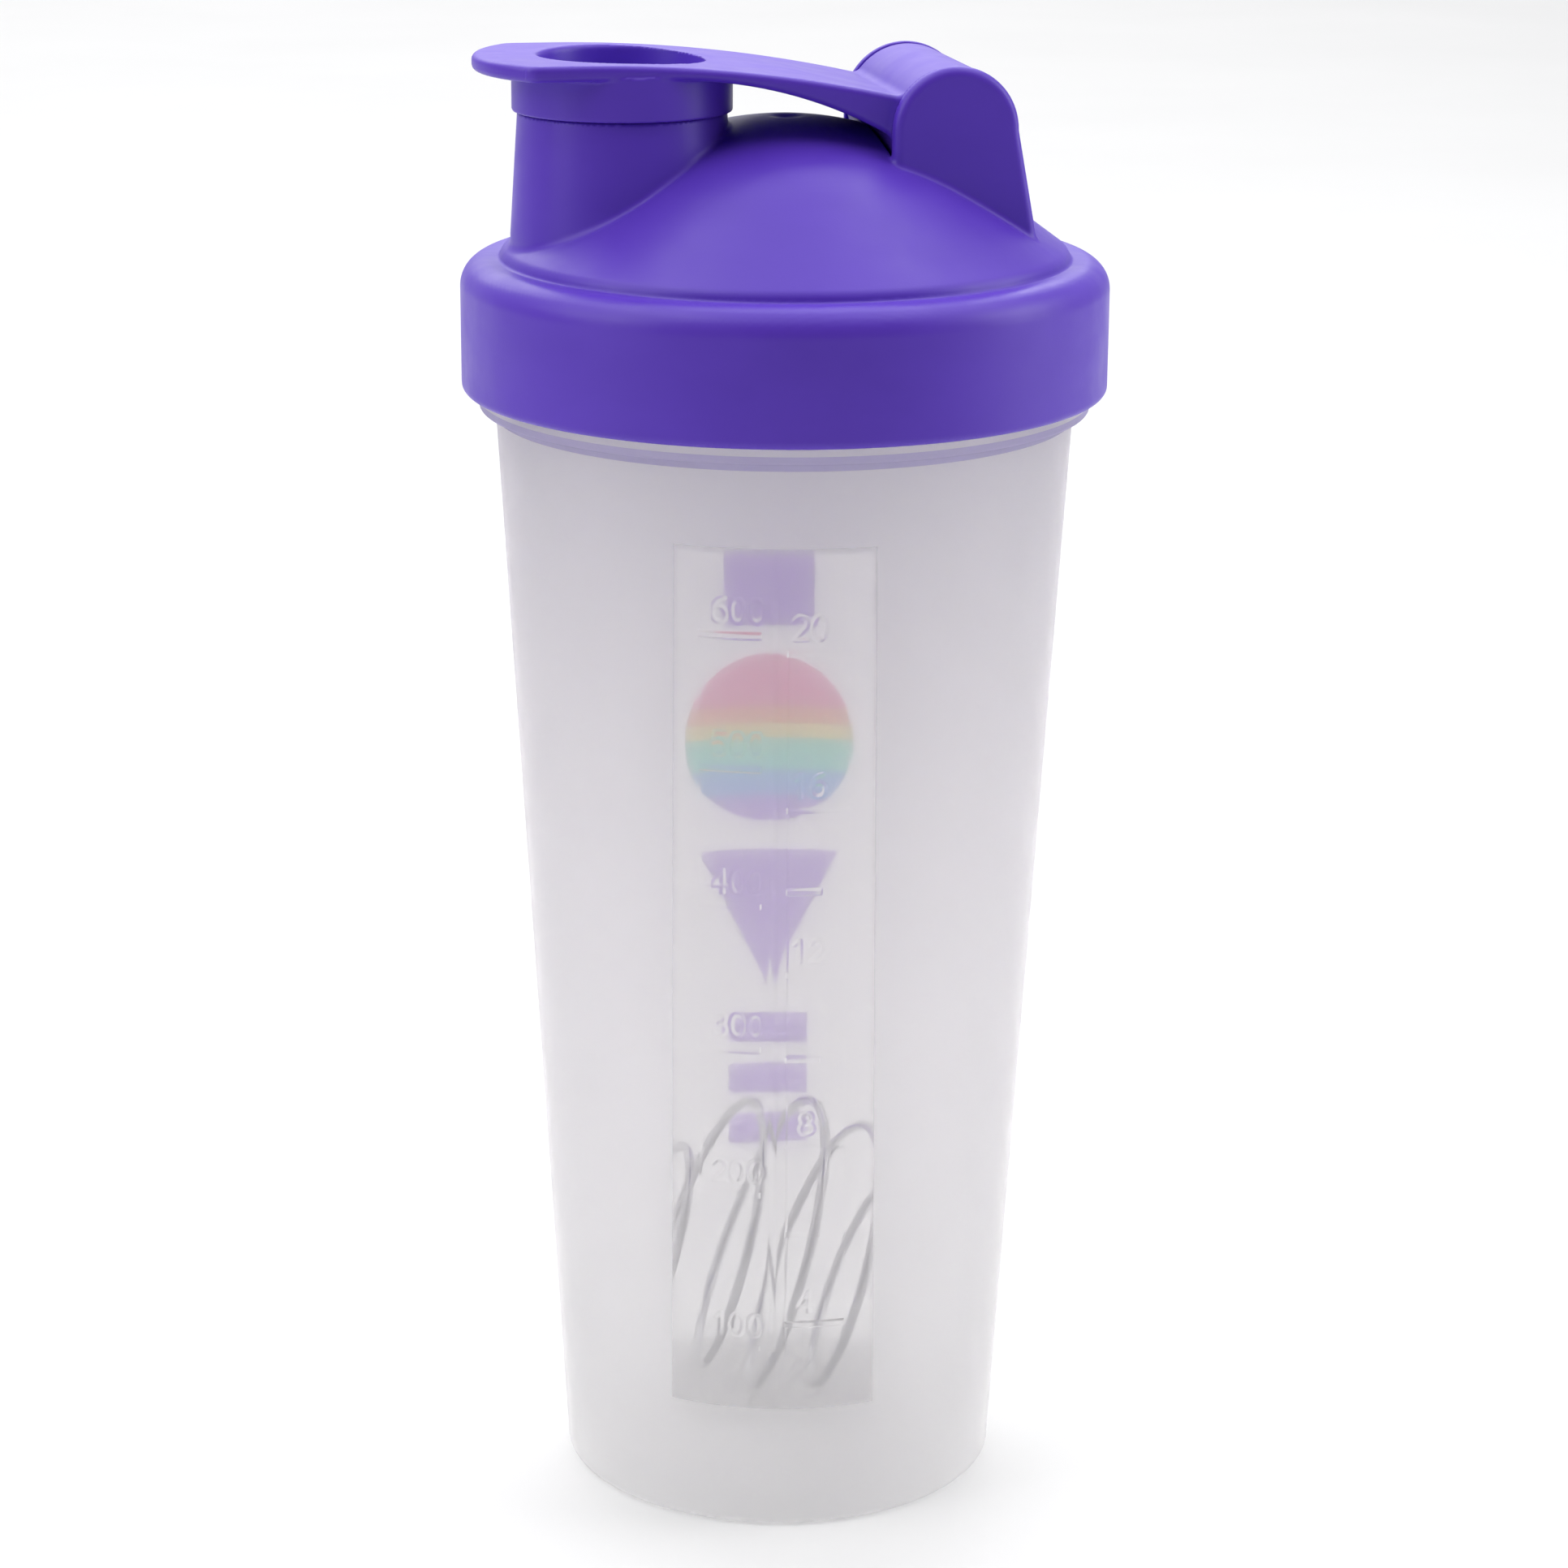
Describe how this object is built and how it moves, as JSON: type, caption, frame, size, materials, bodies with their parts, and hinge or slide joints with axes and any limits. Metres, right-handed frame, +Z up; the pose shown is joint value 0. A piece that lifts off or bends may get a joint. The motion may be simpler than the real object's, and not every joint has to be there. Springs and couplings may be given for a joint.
{
  "type": "protein shaker bottle",
  "caption": "Tapered frosted shaker cup with a screw lid, a flip cap that snaps over the spout, and a loose wire whisk ball.",
  "frame": {"origin": "on the cup's axis, at the plane it stands on", "axes": "+Z up along the cup's axis, -X towards the spout, +X towards the flip cap's hinge, hinge axis along Y"},
  "size_m": [0.098, 0.098, 0.2247],
  "materials": {
    "frosted_plastic": "frosted translucent polypropylene, with one polished clear strip",
    "ink_lavender": "satin screen-print ink",
    "ink_pink": "satin screen-print ink",
    "ink_orange": "satin screen-print ink",
    "ink_yellow": "satin screen-print ink",
    "ink_teal": "satin screen-print ink",
    "ink_blue": "satin screen-print ink",
    "silicone": "matte silicone",
    "purple_plastic": "satin moulded polypropylene",
    "steel_wire": "drawn stainless wire, electropolished"
  },
  "bodies": {
    "cup": {"cup": "frosted_plastic", "ink_lavender": "ink_lavender", "ink_pink": "ink_pink", "ink_orange": "ink_orange", "ink_yellow": "ink_yellow", "ink_teal": "ink_teal", "ink_blue": "ink_blue"},
    "seal_ring": {"seal_ring": "silicone"},
    "lid": {"lid": "purple_plastic"},
    "flip_cap": {"flip_cap": "purple_plastic"},
    "whisk_ball": {"whisk_ball": "steel_wire"}
  },
  "joints": [
    {"name": "lid_lift", "type": "slide", "parent": "cup", "child": "seal_ring", "axis": [0, 0, 1], "range_m": [0, 0.0241]},
    {"name": "lid_turn", "type": "hinge", "parent": "seal_ring", "child": "lid", "pos_m": [0, 0, 0.19], "axis": [0, 0, 1], "range_deg": [0, 720]},
    {"name": "cap_flip", "type": "hinge", "parent": "lid", "child": "flip_cap", "pos_m": [0.022, 0, 0.2144], "axis": [0, 1, 0], "range_deg": [0, 120]},
    {"name": "ball_rise", "type": "slide", "parent": "cup", "child": "whisk_ball", "axis": [0, 0, 1], "range_m": [0, 0.135]}
  ],
  "couplings": [
    {"joint": "lid_lift", "follows": "lid_turn", "m_per_rad": 0.0019099}
  ]
}
